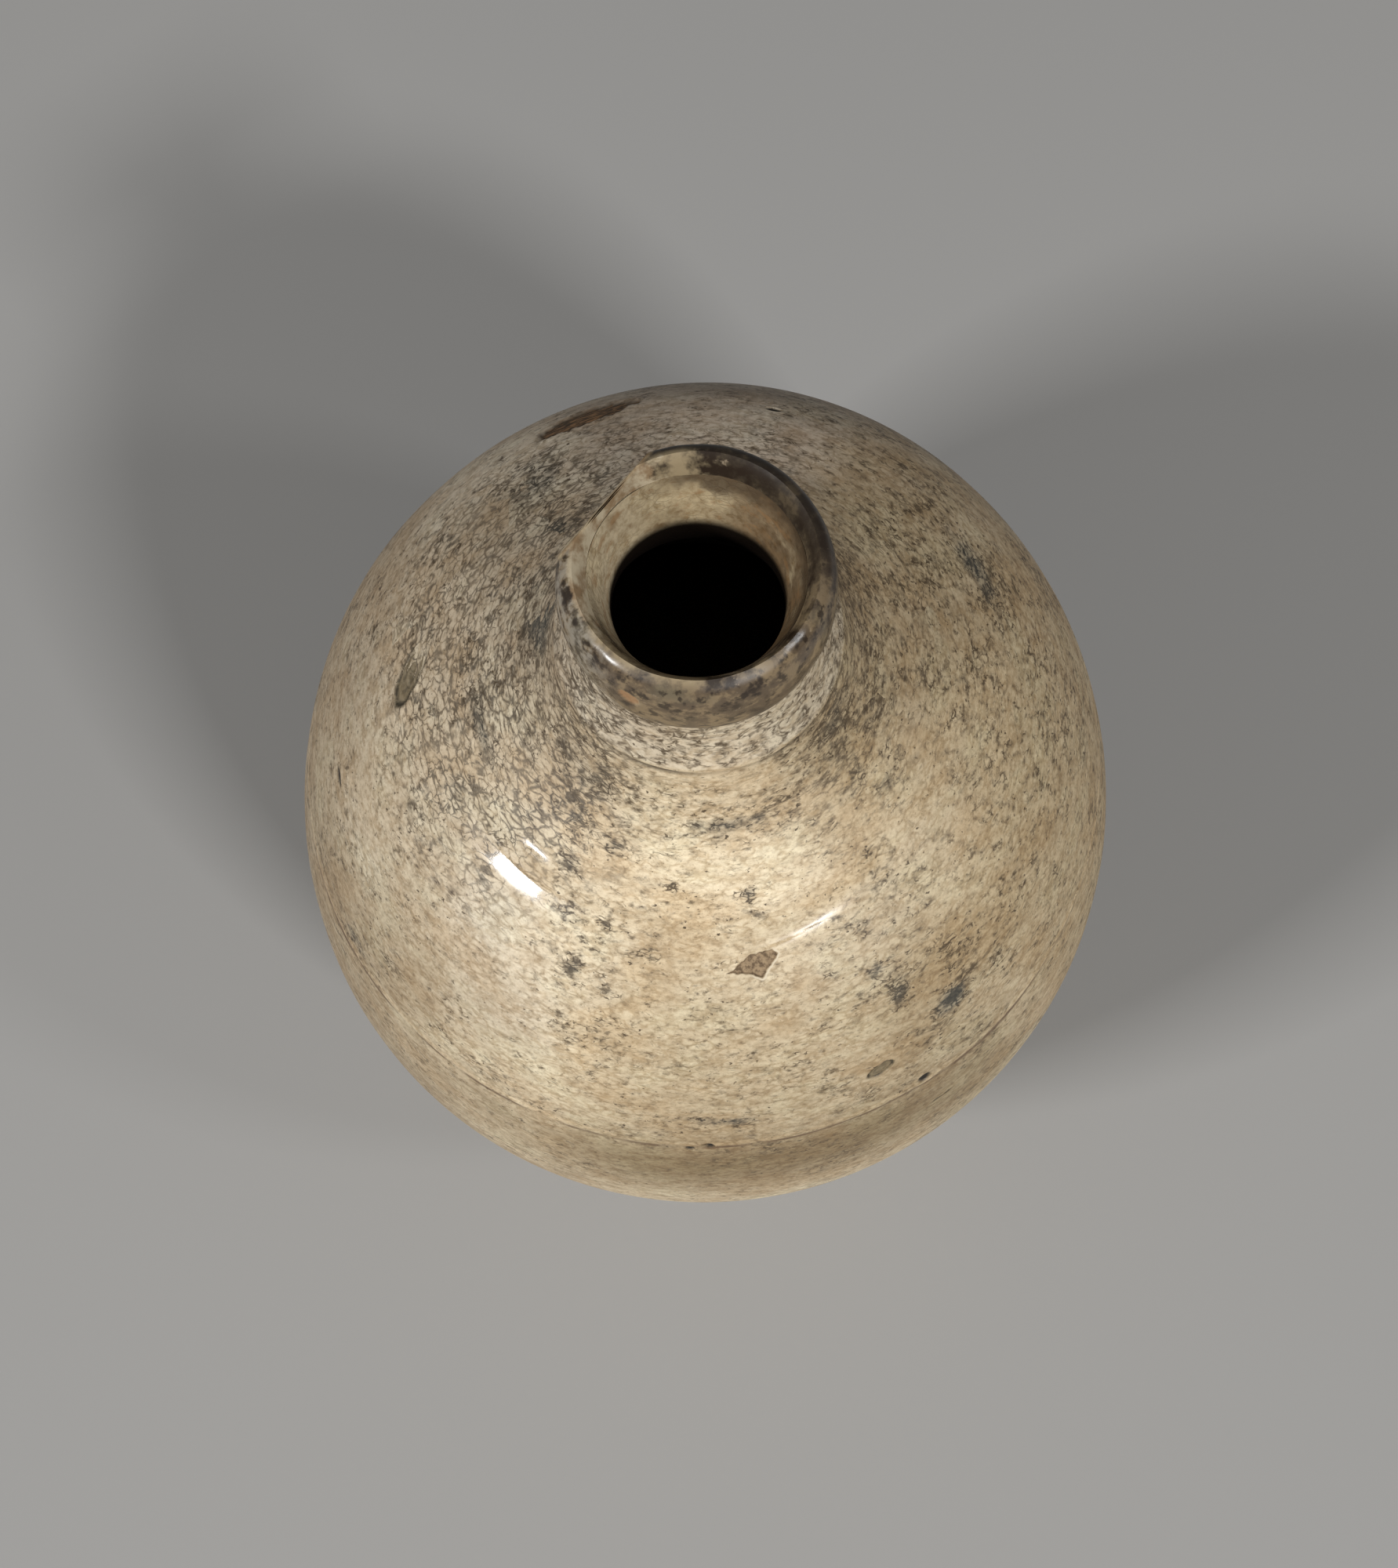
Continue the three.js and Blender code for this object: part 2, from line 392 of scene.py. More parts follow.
# Patches where the craze lines took up dark stain: angle, height, half sizes and strength.
STAINS = [
    (-114, 157, 12, 7, 1.15),
    (-126, 149, 13, 5, 1.05),
    (-141, 143, 10, 7, 0.75),
    (-98, 158, 6, 4, 0.95),
    (-74, 147.6, 9, 2.2, 1.00),
    (-60, 152, 8, 5, 0.55),
    (-45, 157, 9, 6, 0.55),
    (114, 140.0, 11, 3.2, 0.95),
    (86, 156, 6, 6, 0.9),
    (62, 160, 7, 4, 0.6),
    (99, 148, 6, 4, 0.6),
    (-34, 151, 9, 6, 0.4),
    (6, 154, 9, 2.5, 0.75),
    (-19, 132, 11, 5, 0.5),
    (37.6, 124.7, 4.0, 2.6, 1.00),
    (42, 128, 5, 4, 0.35),
    (30, 135, 7, 6, 0.35),
    (1, 116, 9, 1.8, 0.75),
    (-62, 112, 6, 3, 0.6),
    (-28, 112, 12, 3, 0.5),
]

# Small dark stars on the front, where short cracks meet: angle, height and half size.
STARS = [
    (-30.2, 143.7, 2.2),
    (-34.0, 146.7, 2.0),
    (-25.4, 150.1, 1.8),
    (-12.0, 142.7, 1.7),
    (-25.5, 139.7, 2.2),
    (-18.3, 138.7, 2.4),
    (9.5, 146.8, 1.5),
    (10.8, 145.1, 1.4),
    (-9.0, 148.0, 1.2),
    (21.0, 139.0, 1.5),
    (37.9, 125.0, 2.2),
    (30.4, 132.1, 2.4),
    (28.7, 137.0, 2.0),
    (46.6, 123.2, 2.0),
    (28.0, 141.9, 1.8),
    (-21.7, 143.8, 1.6),
]


def oval(piece, flaw):
    """How far each vertex is from a flaw's middle, 1 on its edge."""
    u, v = piece.local(flaw.around, flaw.height, flaw.turn)
    return np.hypot(u / flaw.wide, v / flaw.tall)


def ragged(piece, size, seed):
    """A smooth random value at each vertex, about -1 to 1, with lumps of a size in mm."""
    x = piece.radius * np.sin(piece.angle)
    y = piece.radius * np.cos(piece.angle)
    shift = Vector((seed * 7.3, seed * 3.1, seed * 5.7))
    spots = np.stack([x, y, piece.height], axis=1) / size
    return np.array([noise.noise(Vector(spot) + shift) for spot in spots])


def inside_corners(u, v, corners):
    """Distance in mm inside a polygon's edge, below 0 outside it."""
    points = np.stack([u, v], axis=1)
    shape = np.array(corners)
    edge = distance_to(points, shape)
    within = np.zeros(len(u), bool)
    for (ua, va), (ub, vb) in zip(shape, np.roll(shape, -1, axis=0)):
        crosses = (va > v) != (vb > v)
        rise = vb - va if vb != va else 1e-9
        within ^= crosses & (u < (ub - ua) * (v - va) / rise + ua)
    return np.where(within, edge, -edge)


# Pieces

# A coat's seen side lies at least this far off the clay.
OFF_CLAY = 0.6

# How near its end each coat is drawn out, and by how much, to tuck in behind the next.
COAT_END = 1.5
COAT_TUCK = 0.75
LIP_END = 1.2
LIP_TUCK = 0.6
MOUTH_END = 0.4
MOUTH_TUCK = (0.1, 0.29)


def coat_step(height):
    """Spacing of the coat's rows, finest at the neck."""
    if height > NECK_FROM:
        return NECK_STEP
    at_seam = abs(height - SEAM) < SEAM_REACH
    return SHOULDER_STEP if height > SHOULDER_FROM or at_seam else BODY_STEP


def off_clay(points, *nodes):
    """Which of the points lie on a coat's seen side, away from the clay."""
    nearest = [distance_to(points, read_outline(node)[0]) for node in nodes]
    return np.min(nearest, axis=0) > OFF_CLAY


def turn_coat(points, closed, clay, steps, corner=BODY_CORNER, zones=()):
    """A coat turned from its outline's points, which knows its seen side."""
    outline = smooth_outline(points, closed, steps, corner)
    seen = off_clay(outline, *clay).astype(float)
    return Turned(outline, closed, COAT_SEGMENTS, seen, zones)


def flaw_zones():
    """Where the cream coat's grid is cut finer for its flaws."""
    zones = []
    for flaw in PITS + RINGED_SCARS:
        cuts = 2 if flaw.height > SHOULDER_FROM else 5
        zones.append((flaw.around, flaw.height, 1.3 * flaw.wide + 2, 1.3 * flaw.tall + 2, cuts))
    zones.append((KILN_SCAR.around, KILN_SCAR.height, 13, 6, 1))
    zones.append((CHIP.around, CHIP.height, CHIP.wide + 1.5, CHIP.tall + 1.5, 3))
    zones.append((CHIP.around, CHIP.height, CHIP.wide, CHIP.tall, 1))
    return zones


def press_ridge_and_seam(coat):
    """The lift (mm) at the neck's ridge and the belly seam, and the groove under the ridge, which also
    masks its painted shade.
    """
    turned = coat.degrees
    up = coat.reach - coat.reach_at(RIDGE)
    cut = 0.45 + 0.2 * np.cos(3.0 * coat.angle + 2.0)
    cut += 0.5 * bell(turned, -18, 11) + 0.5 * bell(turned, 34, 14)
    groove = cut * bell(up, -0.35, 0.38)
    lift = 0.3 * bell(up, 0.7, 0.7) - 0.26 * groove
    up = coat.reach - coat.reach_at(SEAM_LINE)
    lift += 0.1 * bell(up, 1.0, 0.8) - 0.12 * bell(up, 0.0, 0.5)
    return lift, groove


def press_flaws(coat):
    """The lift (mm) of the pits, scars and chip, and the fields that colour them."""
    edge_noise = ragged(coat, 1.6, 1)
    fine_noise = ragged(coat, 0.7, 2)
    lift = np.zeros(len(coat.angle))
    scar, ring, hollow = np.zeros((3, len(lift)))
    for flaw in PITS:
        away = oval(coat, flaw) + 0.15 * edge_noise
        hole = 1 - smoothstep(away, 0.55, 1.05)
        lift += 0.08 * bell(away, 1.2, 0.18) - flaw.depth * hole
        scar = np.maximum(scar, hole)
    for flaw in RINGED_SCARS:
        away = oval(coat, flaw) + 0.1 * edge_noise
        within = 1 - smoothstep(away, 0.95, 1.1)
        ripple = 0.5 + 0.5 * np.cos(away * 2 * math.pi * 2.2)
        lift += 0.1 * bell(away, 1.15, 0.12) - within * (0.1 + 0.14 * ripple)
        rim = bell(away, 0.94, 0.13)
        ring = np.maximum(ring, np.maximum(0.6 * within * ripple, rim))
        hollow = np.maximum(hollow, within)
    away = oval(coat, KILN_SCAR) + 0.22 * edge_noise + 0.1 * fine_noise
    kiln = 1 - smoothstep(away, 0.8, 1.0)
    lift += 0.12 * bell(away, 1.1, 0.12) - KILN_SCAR.depth * kiln * (0.8 + 0.2 * fine_noise)
    u, v = coat.local(CHIP.around, CHIP.height, CHIP.turn)
    inside = inside_corners(u, v, CHIP_CORNERS) + 0.22 * edge_noise + 0.16 * fine_noise
    lift -= CHIP.depth * smoothstep(inside, -0.05, 0.3) * (0.85 + 0.15 * fine_noise)
    fields = dict(scar=scar, ringed=ring, hollow=hollow, kiln=kiln)
    fields["kiln_edge"] = bell(away, 0.9, 0.16)
    fields["bare"] = smoothstep(inside, -0.08, 0.12)
    fields["fresh"] = bell(inside, -0.22, 0.16) * smoothstep(u - v, 0.0, 2.0)
    return lift, fields


def spots(coat, places):
    """Soft spots on the coat: angle, height, half sizes and strength of each."""
    field = np.zeros(len(coat.angle))
    for around, height, wide, tall, strength in places:
        u, v = coat.local(around, height)
        field = np.maximum(field, strength * bell(u, 0, wide) * bell(v, 0, tall))
    return field


def glossy_places(coat, up):
    """Where the glaze mirrors the lamps: on the ledge, above it, and in a streak to the right."""
    turned = coat.degrees
    on_ledge = smoothstep(up, -3.6, -3.2) * smoothstep(up, 0.4, 0.0) * bell(turned, -44, 14, 4)
    above_it = smoothstep(up, 2.6, 2.9) * smoothstep(up, 4.6, 4.3) * bell(turned, -43.5, 4, 4)
    streak = bell(turned, 18, 12, 4) * bell(up, -1.5, 0.65)
    return np.maximum(np.maximum(on_ledge, above_it), streak)


def make_outer_coat():
    """The cream glaze over body and neck, with its ridge, seam line, chip, pits and scars."""
    points, closed = read_outline("outer_glaze")
    points[points[:, 1] > SEAT - COAT_END, 1] += COAT_TUCK
    clay = ("lower_body", "upper_body", "neck")
    outside = off_clay(points, *clay)
    steps = [coat_step(height) if off else HIDDEN_STEP for height, off in zip(points[:, 1], outside)]
    coat = turn_coat(points, closed, clay, steps, zones=flaw_zones())
    up_ledge = ledge_up(coat)
    pressed, groove = press_ridge_and_seam(coat)
    marked, fields = press_flaws(coat)
    fields["stain"] = spots(coat, STAINS)
    fields["star"] = spots(coat, [(around, height, size, size, 1.0) for around, height, size in STARS])
    fields["groove"] = groove
    fields["glossy"] = glossy_places(coat, up_ledge)
    lift = throwing_rings(coat.angle, coat.reach, coat.height) + shoulder_ledge(coat, up_ledge)
    return coat.make("cream_glaze_coat", lift + pressed + marked, fields)


# Flake gone from the rim at the back left: which way it faces, and how far it leans up from level.
RIM_CHIP_AROUND = -130.0
RIM_CHIP_TILT = 20.0
# How far below the flake's face the hidden side of the glaze and the clay under it lie.
FLAKE_UNDER_GLAZE = 0.2
FLAKE_UNDER_CLAY = 0.42


def rim_facet():
    """The flake's flat face: its outward direction and its distance from the origin (mm)."""
    turn, lean = math.radians(RIM_CHIP_AROUND), math.radians(RIM_CHIP_TILT)
    out = np.array([math.sin(turn) * math.cos(lean), -math.cos(turn) * math.cos(lean), math.sin(lean)])
    flat = [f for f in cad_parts["lip_glaze"].data.polygons if np.array(f.normal) @ out > 0.999]
    return out, max(np.array(f.center) @ out for f in flat) / MM


def flake_off(position, deeper):
    """Presses what lies above the flake's face down onto it, and says how far above it was (mm)."""
    out, level = rim_facet()
    above = position @ out - (level - deeper)
    position -= np.maximum(above, 0)[:, None] * out
    return above


# Small faults of the lip: a nick down to orange clay, a black pit and a shallow dent.
LIP_NICK = Flaw(-30.3, 186.0, 2.4, 1.7, -35, 0.35)
LIP_PIT = Flaw(13.4, 191.4, 1.2, 0.8, 0, 0.4)
LIP_DENT = Flaw(57.0, 189.5, 3.2, 1.4, 10, 0.18)
# Where the lip is rubbed at its left, and where it is polished enough to mirror the lamps.
LIP_RUBBED_AROUND = -90.0
LIP_POLISHED_AROUND = (-48.0, 50.0)


def degrees_from(piece, around):
    """How far each vertex is turned from an angle round the pot."""
    return abs((piece.degrees - around + 180) % 360 - 180)


def make_lip_coat():
    """The iron-brown glaze over the rolled lip, with the flake that is gone from its rim."""
    points, closed = read_outline("lip_glaze")
    points[points[:, 1] < SEAT + LIP_END, 1] -= LIP_TUCK
    zones = [(RIM_CHIP_AROUND, CREST - 4, 17, 9, 1)]
    coat = turn_coat(points, closed, ["lip"], LIP_STEP, LIP_CORNER, zones)
    lumps = ragged(coat, 6.0, 3)
    fine = ragged(coat, 1.5, 4)
    lift = 0.16 * lumps + 0.03 * fine
    dips = []
    for flaw, roughness, start in ((LIP_NICK, 0.25, 0.7), (LIP_PIT, 0.15, 0.6), (LIP_DENT, 0.0, 0.4)):
        dips.append(1 - smoothstep(oval(coat, flaw) + roughness * fine, start, 1.0))
        lift -= flaw.depth * dips[-1]
    nick, pit = dips[:2]
    position = coat.moved(lift)
    deeper = np.where(coat.seen > 0.5, 0.08 * fine + 0.1 * lumps, FLAKE_UNDER_GLAZE)
    above = flake_off(position, deeper)
    # The flake's bare colour reaches 0.7 mm past its facet: painted light over the shaded lip wall at its
    # edge.
    flake = smoothstep(above, -0.7, -0.1)
    inward = smoothstep(coat.radius, 20.0, 18.6) * smoothstep(coat.height, CREST - 4, CREST - 3)
    rubbed = bell(degrees_from(coat, LIP_RUBBED_AROUND), 0, 32)
    by_flake = bell(degrees_from(coat, RIM_CHIP_AROUND), 0, 33, 4)
    fields = {
        "bare": np.maximum(flake, nick),
        "orange": nick,
        "inward": inward,
        "worn": np.maximum(rubbed, by_flake) * inward,
        "polished": sum(bell(coat.degrees, around, 13, 4) for around in LIP_POLISHED_AROUND),
        "scar": pit,
    }
    return coat.make_at("brown_lip_glaze", position, fields)


def turn_clay(node, step=CLAY_STEP, corner=BODY_CORNER):
    """A clay or slip piece, turned smooth from its solid's outline."""
    points, closed = read_outline(node)
    outline = smooth_outline(points, closed, step, corner)
    return Turned(outline, closed, CLAY_SEGMENTS, np.ones(len(outline)))


def make_lip_clay():
    """The clay of the lip under its glaze, flaked off with it."""
    lip = turn_clay("lip", 2 * LIP_STEP, LIP_CORNER)
    position = places_at(lip.angle, lip.radius + wobble(lip.angle, lip.height), lip.height)
    flake_off(position, FLAKE_UNDER_CLAY)
    return lip.make_at("turned_lip", position)


def make_mouth_coat():
    """The cream glaze that runs from the lip down into the throat."""
    points, closed = read_outline("mouth_glaze")
    points[points[:, 1] > points[:, 1].max() - MOUTH_END] += MOUTH_TUCK
    coat = turn_coat(points, closed, ["lip", "neck"], LIP_STEP, LIP_CORNER)
    return coat.make("mouth_glaze_coat", 0.08 * ragged(coat, 4.0, 5))


# Materials


class Tree:
    """A material's node tree, with short ways to add nodes to it."""

    def __init__(self, name):
        self.material = bpy.data.materials.new(name)
        self.material.use_nodes = True
        self.nodes = self.material.node_tree.nodes
        self.links = self.material.node_tree.links
        self.shader = self.nodes["Principled BSDF"]
        coordinates = self.nodes.new("ShaderNodeTexCoord").outputs["Object"]
        self.place = self.scaled(coordinates, 1 / MM)
        split = self.add("ShaderNodeSeparateXYZ", {"Vector": self.place})
        self.x, self.y, self.z = split.outputs

    def put(self, node, key, value):
        """Sets an input, or links it when the value is another node's output."""
        socket = node.inputs[key]
        if isinstance(value, bpy.types.NodeSocket):
            self.links.new(value, socket)
        else:
            socket.default_value = (*value, 1.0) if socket.type == "RGBA" else value

    def add(self, kind, inputs, **settings):
        """A new node with its settings and inputs."""
        node = self.nodes.new(kind)
        for key, value in settings.items():
            setattr(node, key, value)
        for key, value in inputs.items():
            self.put(node, key, value)
        return node

    def set(self, **inputs):
        """Sets inputs of the shader by their names, written with _ for a space."""
        for key, value in inputs.items():
            self.put(self.shader, key.replace("_", " "), value)

    def vector(self, operation, first, second):
        """A sum of two vectors, or another operation on them."""
        node = self.add("ShaderNodeVectorMath", {0: first, 1: second}, operation=operation)
        return node.outputs["Vector"]

    def scaled(self, value, factor):
        """A vector made longer or shorter."""
        node = self.add("ShaderNodeVectorMath", {0: value, "Scale": factor}, operation="SCALE")
        return node.outputs["Vector"]

    def calc(self, operation, first, second=0.0, clamp=False):
        """A sum of two values, or another operation on them."""
        node = self.add("ShaderNodeMath", {0: first, 1: second}, operation=operation, use_clamp=clamp)
        return node.outputs[0]

    def times(self, first, *others):
        """The product of values."""
        for other in others:
            first = self.calc("MULTIPLY", first, other)
        return first

    def plus(self, first, second):
        """The sum of two values."""
        return self.calc("ADD", first, second)

    def less(self, first, second):
        """The first value less the second."""
        return self.calc("SUBTRACT", first, second)

    def most(self, first, *others):
        """The largest of values."""
        for other in others:
            first = self.calc("MAXIMUM", first, other)
        return first

    def weighed(self, total, *parts):
        """A value plus shares of others, given as pairs of value and share."""
        for value, share in parts:
            total = self.plus(total, self.times(value, share))
        return total

    def field(self, name):
        """A value kept on the mesh."""
        return self.add("ShaderNodeAttribute", {}, attribute_name=name).outputs["Fac"]

    def squeezed(self, factor):
        """Places in mm that make a pattern longer round the pot than up its wall."""
        wall = self.times(self.field("meridian"), factor / MM)
        return self.add("ShaderNodeCombineXYZ", {0: self.x, 1: self.y, 2: wall}).outputs[0]

    def noise(self, size, detail=2.0, roughness=0.5, place=None, colour=False):
        """Soft random lumps of a size in mm."""
        place = self.place if place is None else place
        inputs = {"Vector": place, "Scale": 1 / size, "Detail": detail, "Roughness": roughness}
        node = self.add("ShaderNodeTexNoise", inputs, noise_dimensions="3D")
        return node.outputs["Color" if colour else "Fac"]

    def warped(self, place, size, amount):
        """Places shifted about by lumps of a size in mm."""
        away = self.vector("SUBTRACT", self.noise(size, place=place, colour=True), (0.5, 0.5, 0.5))
        return self.vector("ADD", place, self.scaled(away, amount * 2))

    def crack_distance(self, place, size):
        """Distance to the nearest edge between cells of a size in mm, in mm."""
        inputs = {"Vector": place, "Scale": 1 / size, "Randomness": 1.0}
        kind = "ShaderNodeTexVoronoi"
        node = self.add(kind, inputs, feature="DISTANCE_TO_EDGE", voronoi_dimensions="3D")
        return self.times(node.outputs["Distance"], size)

    def fade(self, value, low, high, share=1.0):
        """0 at low, a share at high, easing between them; low may lie above high."""
        inputs = {"Value": value, "From Min": low, "From Max": high, "To Max": share}
        return self.add("ShaderNodeMapRange", inputs, interpolation_type="SMOOTHSTEP").outputs[0]

    def mix(self, amount, first, second, blend="MIX"):
        """One colour turning into another."""
        inputs = {0: amount, 6: first, 7: second}
        return self.add("ShaderNodeMix", inputs, data_type="RGBA", blend_type=blend).outputs[2]

    def laid(self, base, *layers):
        """A colour with others laid over it, given as pairs of amount and colour."""
        for amount, layer in layers:
            base = self.mix(amount, base, layer)
        return base

    def bump(self, height, distance):
        """A relief of the given height in mm."""
        inputs = {"Height": height, "Distance": distance * MM, "Strength": 1.0}
        return self.add("ShaderNodeBump", inputs).outputs[0]


# Colours of the cream glaze on each side of the pot, in linear light.
CREAM_BACK = (0.6, 0.495, 0.38)
CREAM_FRONT = (0.95, 0.79, 0.545)
CREAM_RIGHT = (0.56, 0.43, 0.25)
CREAM_LEFT = (0.7, 0.575, 0.405)
# CREAM_LOW darkens the glaze towards the bottom, and also lays the painted shade on the front.
CREAM_LOW = (0.3, 0.21, 0.105)
CREAM_WASH = (0.86, 0.76, 0.6)
CREAM_COLLAR = (0.74, 0.65, 0.51)

# Colours of its marks.
STAIN_GREY = (0.27, 0.25, 0.195)
WEB_BROWN = (0.2, 0.155, 0.105)
WEB_DARK = (0.085, 0.072, 0.055)
LINE_BROWN = (0.09, 0.06, 0.032)
LINE_GREY = (0.052, 0.05, 0.042)
# A dark line painted in the groove under the neck's ridge: painted shade.
GROOVE_PAINTED_SHADE = (0.06, 0.042, 0.026)
SEAM_BROWN = (0.15, 0.085, 0.045)
KILN_DARK = (0.07, 0.045, 0.025)
KILN_RUST = (0.34, 0.19, 0.09)
KILN_EDGE = (0.05, 0.035, 0.02)
SCAR_BLACK = (0.03, 0.025, 0.02)
HOLLOW_OLIVE = (0.2, 0.155, 0.085)
RING_DARK = (0.035, 0.028, 0.018)
CHIP_EDGE = (0.86, 0.74, 0.55)
CHIP_DARK = (0.15, 0.1, 0.058)
CHIP_TAN = (0.42, 0.3, 0.18)

# Tones that the glaze is multiplied by.
NECK_TONE = (0.81, 0.8, 0.79)
COMB_TONE = (0.76, 0.71, 0.66)
PEBBLE_TONE = (0.7, 0.63, 0.54)
# Lightens a thin line just above the seam: a painted highlight on its raised edge.
SEAM_PAINTED_HIGHLIGHT = (1.18, 1.16, 1.14)

# Mottling of the cream glaze: how far it is drawn out round the pot, the size, detail and roughness of
# its lumps, and where it lightens and darkens: start, full, share and tone.
MOTTLINGS = [
    (1.4, 16, 3.0, 0.55, [
        (0.5, 0.64, 0.9, (1.06, 1.1, 1.11)),
        (0.5, 0.36, 0.9, (0.92, 0.87, 0.81)),
    ]),
    (1.6, 4.5, 3.0, 0.6, [
        (0.5, 0.7, 0.7, (1.1, 1.12, 1.14)),
        (0.5, 0.3, 0.8, (0.8, 0.77, 0.73)),
    ]),
    (1.3, 1.0, 4.0, 0.75, [
        (0.48, 0.72, 1.0, (1.16, 1.17, 1.18)),
        (0.52, 0.28, 1.0, (0.66, 0.62, 0.57)),
    ]),
]

# Levels of the cream glaze's zones above the table: where each starts and where it is full.
NECK_LEVELS = (149, 158)
LOW_LEVELS = (149, 112)
SHADE_LEVELS = (147, 138)
BAND_LEVELS = (115, 101)
SHADE_END = (72, 100)
WASH_FOOT = (116, 134)
WASH_TOP = (149, 141)
WEB_LEVELS = (134, 147)
COMB_LEVELS = (142, 116)
FLANK_FOOT = (149, 154)
FLANK_TOP = (RIDGE + 0.4, RIDGE - 0.8)
COLLAR_FOOT = (RIDGE + 0.4, RIDGE + 1.4)
COLLAR_TOP = (RIDGE + 13, RIDGE + 11)
# The painted shade on the front lies a little to its right, at this angle.
SHADE_AROUND = 12.0

Zones = namedtuple("Zones", "front right left neck low wash")


def glaze_zones(tree):
    """How far a place belongs to each zone of the cream glaze."""
    times, plus, less, fade = tree.times, tree.plus, tree.less, tree.fade
    stray = less(tree.noise(20, 2.0), 0.5)
    radius = tree.calc("SQRT", plus(times(tree.x, tree.x), times(tree.y, tree.y)))
    sideways = tree.calc("DIVIDE", tree.x, radius)
    ahead = tree.calc("DIVIDE", tree.y, times(radius, -1))
    side = plus(sideways, stray)
    level = tree.weighed(tree.z, (stray, 16))
    turn = math.radians(SHADE_AROUND)
    right_of_front = plus(times(ahead, math.cos(turn)), times(sideways, math.sin(turn)))
    # Painted shade: darker glaze on the front shoulder a little to the right, and in a band low on the
    # front.
    upper = times(fade(right_of_front, 0.76, 0.96), fade(level, *SHADE_LEVELS), 0.37)
    lower = times(fade(ahead, 0.62, 1.0), fade(tree.z, *BAND_LEVELS), 0.45)
    painted_shade = times(plus(upper, lower), fade(tree.z, *SHADE_END))
    even = tree.weighed(0.13, (fade(side, -0.4, -0.78), 0.29))
    wash = times(fade(side, -0.2, -0.64), fade(side, -0.95, -0.68))
    return Zones(
        front=fade(plus(ahead, stray), -0.35, 0.75),
        right=fade(side, 0.24, 0.92),
        left=fade(side, -0.15, -0.8),
        neck=fade(tree.z, *NECK_LEVELS),
        low=plus(times(fade(level, *LOW_LEVELS), even), painted_shade),
        wash=times(wash, fade(tree.z, *WASH_FOOT), fade(tree.z, *WASH_TOP)),
    )


def glaze_ground(tree, zones):
    """Colour of the cream glaze between its marks: cloudy, with a fine grain."""
    times, fade, mix = tree.times, tree.fade, tree.mix
    base = tree.laid(
        mix(zones.front, CREAM_BACK, CREAM_FRONT),
        (times(zones.right, 0.8), CREAM_RIGHT),
        (times(zones.left, 0.7), CREAM_LEFT),
        (zones.low, CREAM_LOW),
    )
    base = mix(zones.neck, base, NECK_TONE, "MULTIPLY")
    base = mix(times(zones.wash, 0.42), base, CREAM_WASH)
    for drawn, size, detail, roughness, tones in MOTTLINGS:
        lumps = tree.noise(size, detail, roughness, tree.squeezed(drawn))
        for start, full, share, tone in tones:
            base = mix(fade(lumps, start, full, share), base, tone, "MULTIPLY")
    comb = tree.noise(6.0, 4.0, 0.6, tree.squeezed(5.0))
    steep = tree.weighed(0.06, (fade(tree.z, *COMB_LEVELS), 0.34))
    return mix(times(fade(comb, 0.52, 0.36), steep), base, COMB_TONE, "MULTIPLY")


def crackle_lines(tree, zones, web_zone, crowd):
    """The crackle: shades between its cells, a brown web, the darker lines, and the neck's collar."""
    times, fade, weighed = tree.times, tree.fade, tree.weighed
    gaps = tree.noise(2.4, 3.0, 0.6, tree.squeezed(1.6))
    cells = tree.warped(tree.warped(tree.squeezed(1.8), 5.0, 2.4), 1.5, 0.8)
    border = tree.crack_distance(cells, 2.4)
    width = weighed(0.12, (fade(tree.noise(4.0, 3.0), 0.3, 0.7), 0.55))
    web = fade(weighed(gaps, (web_zone, 0.16)), 0.48, 0.66)
    web = times(fade(border, width, 0.0), web, web_zone)
    patchy = fade(tree.noise(3.2, 2.0, place=tree.squeezed(1.7)), 0.32, 0.62)
    pebble = times(fade(border, 0.7, 0.0), patchy)

    stroke = fade(weighed(gaps, (crowd, 0.26)), 0.6, 0.82)
    stroke = times(fade(tree.crack_distance(cells, 1.7), 0.28, 0.06), stroke)
    dash = weighed(tree.noise(2.4, 3.0, 0.6, tree.squeezed(1.8)), (crowd, 0.18))
    dash = fade(dash, 0.62, 0.84, 0.9)
    dot = weighed(tree.noise(1.2, 3.0, 0.6, tree.squeezed(1.4)), (crowd, 0.12))
    dot = fade(dot, 0.66, 0.76)
    vein = tree.noise(7.0, 4.0, 0.65, tree.squeezed(6.0))
    vein = weighed(vein, (zones.right, 0.07), (zones.low, 0.08))
    vein = fade(vein, 0.69, 0.82, 0.7)

    sides = weighed(0.3, (tree.most(zones.left, zones.right), 0.6))
    flank = times(fade(tree.z, *FLANK_FOOT), fade(tree.z, *FLANK_TOP), sides)
    pulled = tree.crack_distance(tree.warped(tree.squeezed(3.6), 4.0, 1.4), 3.6)
    pulled = times(fade(pulled, 0.55, 0.05), fade(gaps, 0.42, 0.62), flank)
    collar = times(fade(tree.z, *COLLAR_FOOT), fade(tree.z, *COLLAR_TOP))
    collar_line = fade(tree.crack_distance(cells, 2.0), 0.45, 0.05)
    collar_line = times(collar_line, collar, fade(gaps, 0.36, 0.66))
    lines = tree.most(stroke, dash, dot, vein, pulled, collar_line)
    return pebble, web, lines, collar


